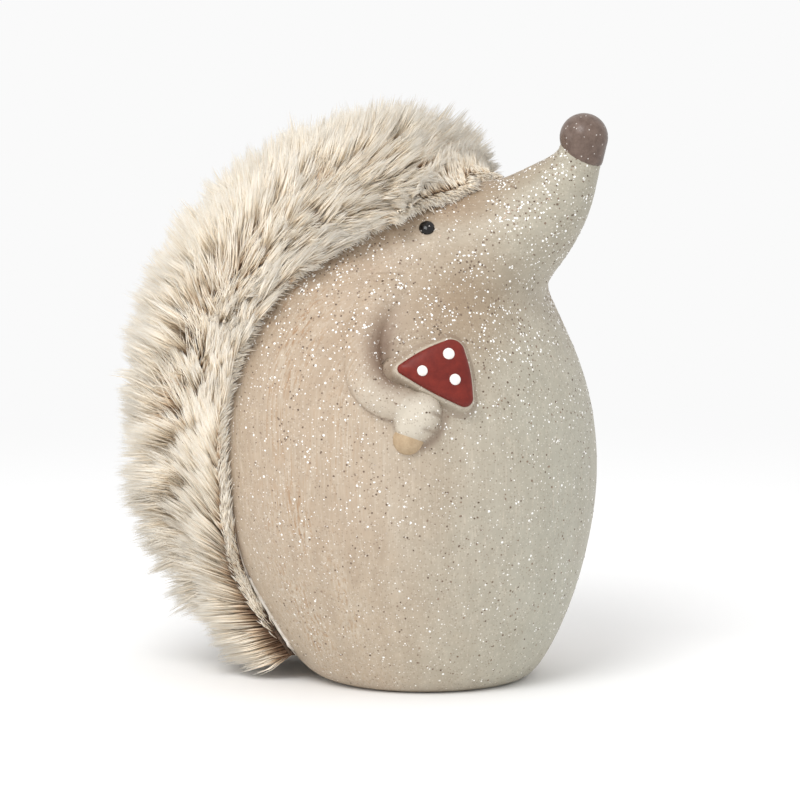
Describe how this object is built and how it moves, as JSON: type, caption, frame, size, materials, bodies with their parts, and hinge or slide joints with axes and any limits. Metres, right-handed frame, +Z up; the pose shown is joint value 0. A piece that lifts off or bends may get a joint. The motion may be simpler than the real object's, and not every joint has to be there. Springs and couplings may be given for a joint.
{
  "type": "hedgehog figurine",
  "caption": "Ceramic hedgehog ornament with a strip of long-pile fur along its back, holding a red toadstool, standing on a flat foot",
  "frame": {"origin": "centre of the foot, on the surface that the ornament stands on", "axes": "+Z up, the snout towards -Y, the animal's right side and its toadstool towards -X"},
  "size_m": [0.0976, 0.1215, 0.1433],
  "materials": {
    "painted_body": "satin",
    "nose_paint": "gloss",
    "eye_enamel": "gloss",
    "cap_paint": "satin",
    "stalk_paint": "satin",
    "spot_paint": "satin",
    "clear_adhesive": "gloss",
    "backing_knit": "matte",
    "fur_fibre": "matte"
  },
  "bodies": {
    "root": {"body_shell": "painted_body", "nose_tip": "nose_paint", "eye_right": "eye_enamel", "eye_left": "eye_enamel", "arm_right": "painted_body", "arm_left": "painted_body", "mushroom_cap": "cap_paint", "mushroom_gills": "painted_body", "mushroom_stalk": "stalk_paint", "cap_spot_1": "spot_paint", "cap_spot_2": "spot_paint", "cap_spot_3": "spot_paint", "fur_adhesive": "clear_adhesive", "fur_backing": "backing_knit", "fur_pile": "fur_fibre"}
  },
  "joints": []
}
